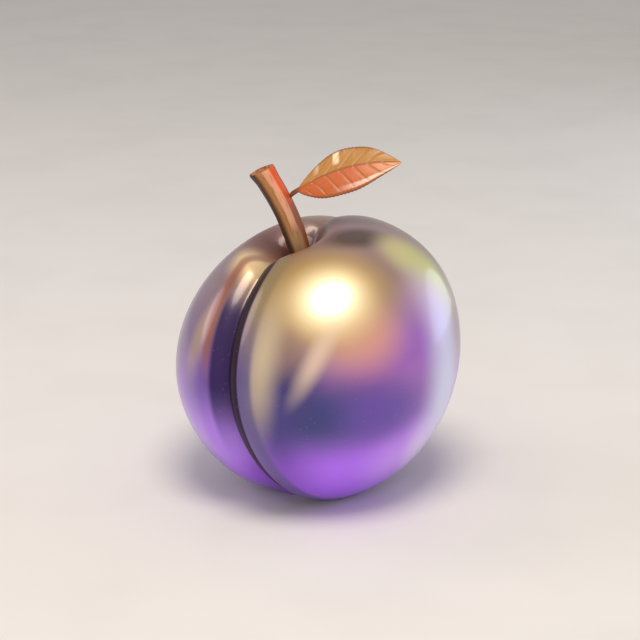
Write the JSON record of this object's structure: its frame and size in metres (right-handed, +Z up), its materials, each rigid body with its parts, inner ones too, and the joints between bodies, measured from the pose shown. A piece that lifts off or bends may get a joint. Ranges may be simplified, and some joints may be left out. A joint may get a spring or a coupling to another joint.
{
  "type": "peach",
  "caption": "Glossy peach with a deep crease, a woody cut stem and a single leaf, resting on a small flat spot.",
  "frame": {"origin": "on the small flat under the fruit that it rests on, about at its centre", "axes": "+Z up from the rest flat, -Y towards the crease, +X towards the lobe that hangs lower"},
  "size_m": [0.0713, 0.0714, 0.0847],
  "materials": {
    "skin": "gloss",
    "bark": "satin",
    "blade": "satin"
  },
  "bodies": {
    "root": {"fruit": "skin", "stem": "bark", "leaf": "blade"}
  },
  "joints": []
}
